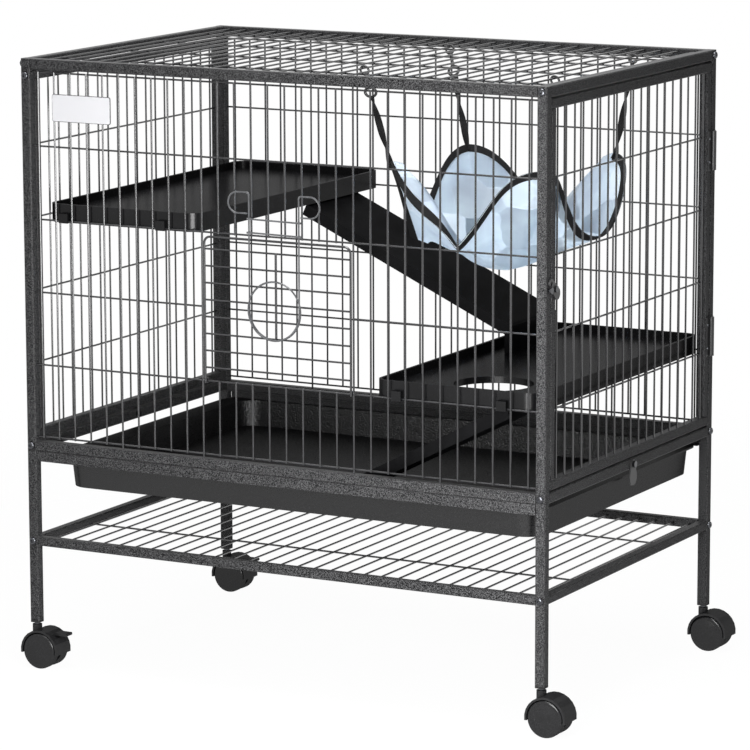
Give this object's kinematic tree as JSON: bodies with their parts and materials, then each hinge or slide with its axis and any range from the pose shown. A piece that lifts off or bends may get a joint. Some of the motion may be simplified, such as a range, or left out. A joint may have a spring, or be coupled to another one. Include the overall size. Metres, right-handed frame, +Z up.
{
  "type": "small animal cage",
  "caption": "Wire pet cage on casters with a hinged side door, a drop-down front door, a slide-out tray, platforms with ramps, a hammock and a low shelf.",
  "frame": {"origin": "on the floor, in the middle of the rectangle that the parked casters reach", "axes": "+X to the side door, -Y to the front, +Z up"},
  "size_m": [0.832, 0.5606, 0.8429],
  "materials": {
    "frame_tube": "charcoal hammertone powder coat",
    "mesh_wire": "dark grey semi-gloss powder coat",
    "latch_wire": "dark grey coated spring wire",
    "platform_plastic": "satin-gloss black moulded plastic",
    "tray_plastic": "pebbled black moulded plastic",
    "bolt_steel": "bright plated steel",
    "lock_plate": "black coated plate",
    "hinge_steel": "black coated steel",
    "caster_nylon": "satin black nylon",
    "caster_tread": "satin black nylon tread",
    "hammock_fabric": "light blue satin cloth",
    "webbing": "black woven webbing",
    "hook_plastic": "black moulded snap hook",
    "plug_plastic": "black plastic end plug"
  },
  "bodies": {
    "cage": {"caster_stems": "bolt_steel", "frame_bolts": "bolt_steel", "front_panel_frame": "frame_tube", "front_wires": "mesh_wire", "hammock_cloth": "hammock_fabric", "hammock_straps": "webbing", "hinge_leaves_post": "hinge_steel", "hinge_pins": "bolt_steel", "latch_keeper": "bolt_steel", "left_bottom_rail": "frame_tube", "left_panel_frame": "frame_tube", "left_panel_wires": "mesh_wire", "left_top_rail": "frame_tube", "leg_front_left": "frame_tube", "leg_front_right": "frame_tube", "leg_plugs": "plug_plastic", "leg_rear_left": "frame_tube", "leg_rear_right": "frame_tube", "lower_platform": "platform_plastic", "lower_ramp": "platform_plastic", "rear_panel_frame": "frame_tube", "rear_wires": "mesh_wire", "right_bottom_rail": "frame_tube", "right_top_rail": "frame_tube", "roof_wires": "mesh_wire", "shelf_frame": "frame_tube", "shelf_wires": "mesh_wire", "snap_hooks": "hook_plastic", "tray_channel_front": "frame_tube", "tray_channel_rear": "frame_tube", "tray_lock_bolts": "bolt_steel", "upper_platform": "platform_plastic", "upper_ramp": "platform_plastic"},
    "side_door": {"door_frame": "frame_tube", "door_wires": "mesh_wire", "hinge_leaves_door": "hinge_steel", "latch_rivet": "bolt_steel"},
    "door_latch": {"latch_lever": "lock_plate"},
    "front_door": {"flap_door": "mesh_wire", "flap_spring": "latch_wire", "flap_links": "latch_wire"},
    "tray": {"tray": "tray_plastic"},
    "tray_lock_right": {"tray_lock_right": "lock_plate"},
    "tray_lock_left": {"tray_lock_left": "lock_plate"},
    "swivel_front_left": {"caster_front_left_hood": "caster_nylon"},
    "wheel_front_left_front": {"caster_front_left_wheel_front": "caster_tread"},
    "wheel_front_left_rear": {"caster_front_left_wheel_rear": "caster_tread"},
    "brake_front_left": {"caster_front_left_brake": "caster_nylon"},
    "swivel_front_right": {"caster_front_right_hood": "caster_nylon"},
    "wheel_front_right_front": {"caster_front_right_wheel_front": "caster_tread"},
    "wheel_front_right_rear": {"caster_front_right_wheel_rear": "caster_tread"},
    "swivel_rear_left": {"caster_rear_left_hood": "caster_nylon"},
    "wheel_rear_left_front": {"caster_rear_left_wheel_front": "caster_tread"},
    "wheel_rear_left_rear": {"caster_rear_left_wheel_rear": "caster_tread"},
    "brake_rear_left": {"caster_rear_left_brake": "caster_nylon"},
    "swivel_rear_right": {"caster_rear_right_hood": "caster_nylon"},
    "wheel_rear_right_front": {"caster_rear_right_wheel_front": "caster_tread"},
    "wheel_rear_right_rear": {"caster_rear_right_wheel_rear": "caster_tread"}
  },
  "joints": [
    {"name": "side_door_hinge", "type": "hinge", "parent": "cage", "child": "side_door", "pos_m": [0.3847, 0.25125, 0.575], "axis": [0, 0, 1], "range_deg": [0, 170]},
    {"name": "door_latch_turn", "type": "hinge", "parent": "side_door", "child": "door_latch", "pos_m": [0.3832, -0.244, 0.58215], "axis": [-1, 0, 0], "range_deg": [-38, 40]},
    {"name": "front_door_hinge", "type": "hinge", "parent": "cage", "child": "front_door", "pos_m": [-0.013, -0.2606, 0.424], "axis": [1, 0, 0], "range_deg": [0, 150]},
    {"name": "tray_slide", "type": "slide", "parent": "cage", "child": "tray", "axis": [-1, 0, 0], "range_m": [0, 0.25]},
    {"name": "tray_lock_right_turn", "type": "hinge", "parent": "cage", "child": "tray_lock_right", "pos_m": [0.3823, 0, 0.311], "axis": [1, 0, 0], "range_deg": [0, 95]},
    {"name": "tray_lock_left_turn", "type": "hinge", "parent": "cage", "child": "tray_lock_left", "pos_m": [-0.4083, 0, 0.311], "axis": [1, 0, 0], "range_deg": [-90, 0]},
    {"name": "caster_front_left_swivel", "type": "hinge", "parent": "cage", "child": "swivel_front_left", "pos_m": [-0.4, -0.259, 0.062], "axis": [0, 0, 1], "continuous": true},
    {"name": "wheel_front_left_front_spin", "type": "hinge", "parent": "swivel_front_left", "child": "wheel_front_left_front", "pos_m": [-0.387, -0.2718, 0.025], "axis": [0, 1, 0], "continuous": true},
    {"name": "wheel_front_left_rear_spin", "type": "hinge", "parent": "swivel_front_left", "child": "wheel_front_left_rear", "pos_m": [-0.387, -0.2462, 0.025], "axis": [0, 1, 0], "continuous": true},
    {"name": "brake_front_left_press", "type": "hinge", "parent": "swivel_front_left", "child": "brake_front_left", "pos_m": [-0.368, -0.259, 0.04721], "axis": [0, 1, 0], "range_deg": [0, 15]},
    {"name": "caster_front_right_swivel", "type": "hinge", "parent": "cage", "child": "swivel_front_right", "pos_m": [0.374, -0.259, 0.062], "axis": [0, 0, 1], "continuous": true},
    {"name": "wheel_front_right_front_spin", "type": "hinge", "parent": "swivel_front_right", "child": "wheel_front_right_front", "pos_m": [0.387, -0.2718, 0.025], "axis": [0, 1, 0], "continuous": true},
    {"name": "wheel_front_right_rear_spin", "type": "hinge", "parent": "swivel_front_right", "child": "wheel_front_right_rear", "pos_m": [0.387, -0.2462, 0.025], "axis": [0, 1, 0], "continuous": true},
    {"name": "caster_rear_left_swivel", "type": "hinge", "parent": "cage", "child": "swivel_rear_left", "pos_m": [-0.4, 0.259, 0.062], "axis": [0, 0, 1], "continuous": true},
    {"name": "wheel_rear_left_front_spin", "type": "hinge", "parent": "swivel_rear_left", "child": "wheel_rear_left_front", "pos_m": [-0.387, 0.2462, 0.025], "axis": [0, 1, 0], "continuous": true},
    {"name": "wheel_rear_left_rear_spin", "type": "hinge", "parent": "swivel_rear_left", "child": "wheel_rear_left_rear", "pos_m": [-0.387, 0.2718, 0.025], "axis": [0, 1, 0], "continuous": true},
    {"name": "brake_rear_left_press", "type": "hinge", "parent": "swivel_rear_left", "child": "brake_rear_left", "pos_m": [-0.368, 0.259, 0.04721], "axis": [0, 1, 0], "range_deg": [0, 15]},
    {"name": "caster_rear_right_swivel", "type": "hinge", "parent": "cage", "child": "swivel_rear_right", "pos_m": [0.374, 0.259, 0.062], "axis": [0, 0, 1], "continuous": true},
    {"name": "wheel_rear_right_front_spin", "type": "hinge", "parent": "swivel_rear_right", "child": "wheel_rear_right_front", "pos_m": [0.387, 0.2462, 0.025], "axis": [0, 1, 0], "continuous": true},
    {"name": "wheel_rear_right_rear_spin", "type": "hinge", "parent": "swivel_rear_right", "child": "wheel_rear_right_rear", "pos_m": [0.387, 0.2718, 0.025], "axis": [0, 1, 0], "continuous": true}
  ]
}
